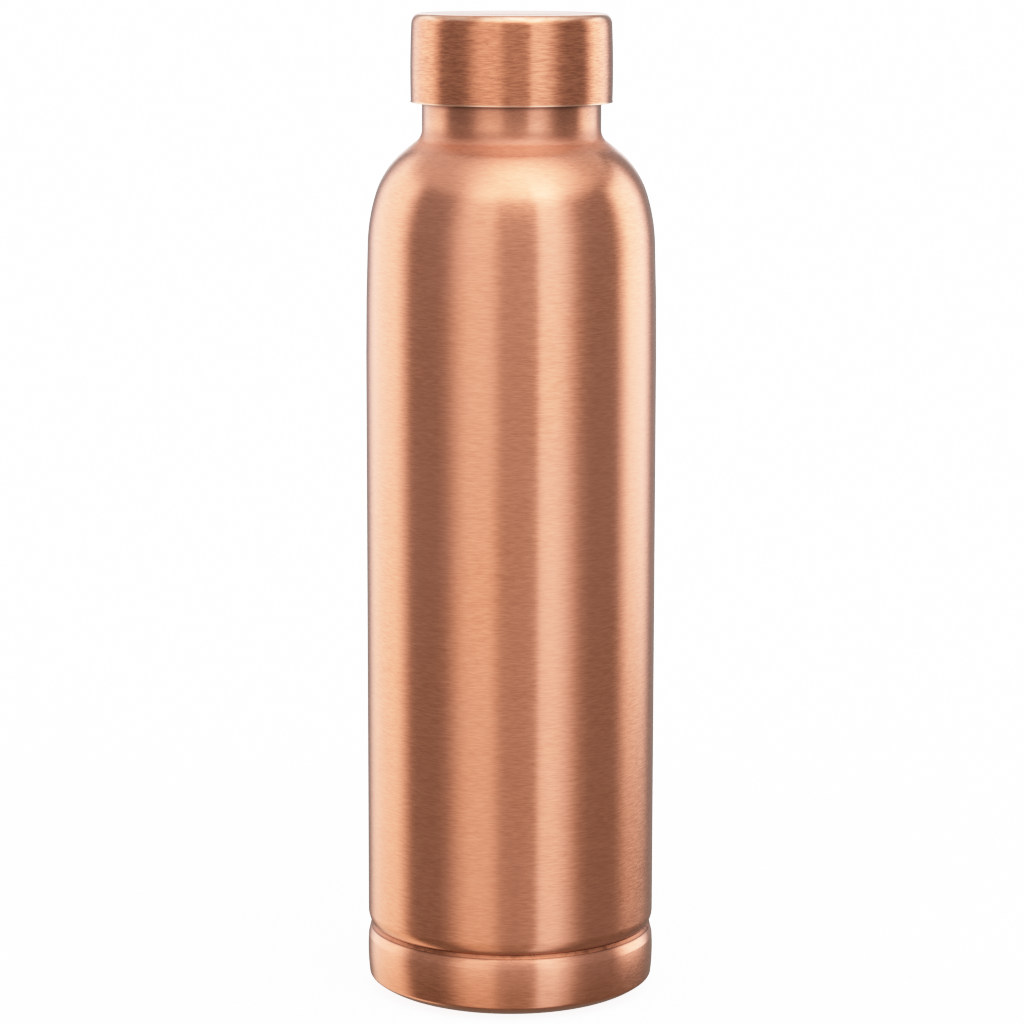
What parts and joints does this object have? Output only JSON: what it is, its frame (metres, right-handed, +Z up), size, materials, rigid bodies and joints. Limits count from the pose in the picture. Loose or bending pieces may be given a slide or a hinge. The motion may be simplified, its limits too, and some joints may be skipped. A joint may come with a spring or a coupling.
{
  "type": "water bottle",
  "caption": "Cylindrical brushed copper water bottle with rounded shoulders, a separate base cup and a tall screw cap",
  "frame": {"origin": "centre of the foot ring, on the surface that the bottle stands on", "axes": "+Z up along the bottle's axis; the bottle is round, so X and Y are free apart from the thread's start on +X"},
  "size_m": [0.0762, 0.0762, 0.2585],
  "materials": {
    "copper_body": "fine brushed lacquered copper",
    "copper_base": "fine brushed lacquered copper",
    "copper_cap": "coarser brushed lacquered copper",
    "solder": "copper coloured brazing filler, satin",
    "brass": "turned brass",
    "silicone": "translucent white silicone"
  },
  "bodies": {
    "bottle": {"bottle_body": "copper_body", "base_cup": "copper_base", "base_seam": "solder", "neck_collar": "brass"},
    "gasket": {"cap_gasket": "silicone"},
    "cap": {"cap_shell": "copper_cap", "cap_ring": "brass"}
  },
  "joints": [
    {"name": "cap_lift", "type": "slide", "parent": "bottle", "child": "gasket", "axis": [0, 0, 1], "range_m": [0, 0.021]},
    {"name": "cap_turn", "type": "hinge", "parent": "gasket", "child": "cap", "pos_m": [0, 0, 0.245], "axis": [0, 0, 1], "range_deg": [0, 1890]}
  ],
  "couplings": [
    {"joint": "cap_lift", "follows": "cap_turn", "m_per_rad": 0.00063662}
  ]
}
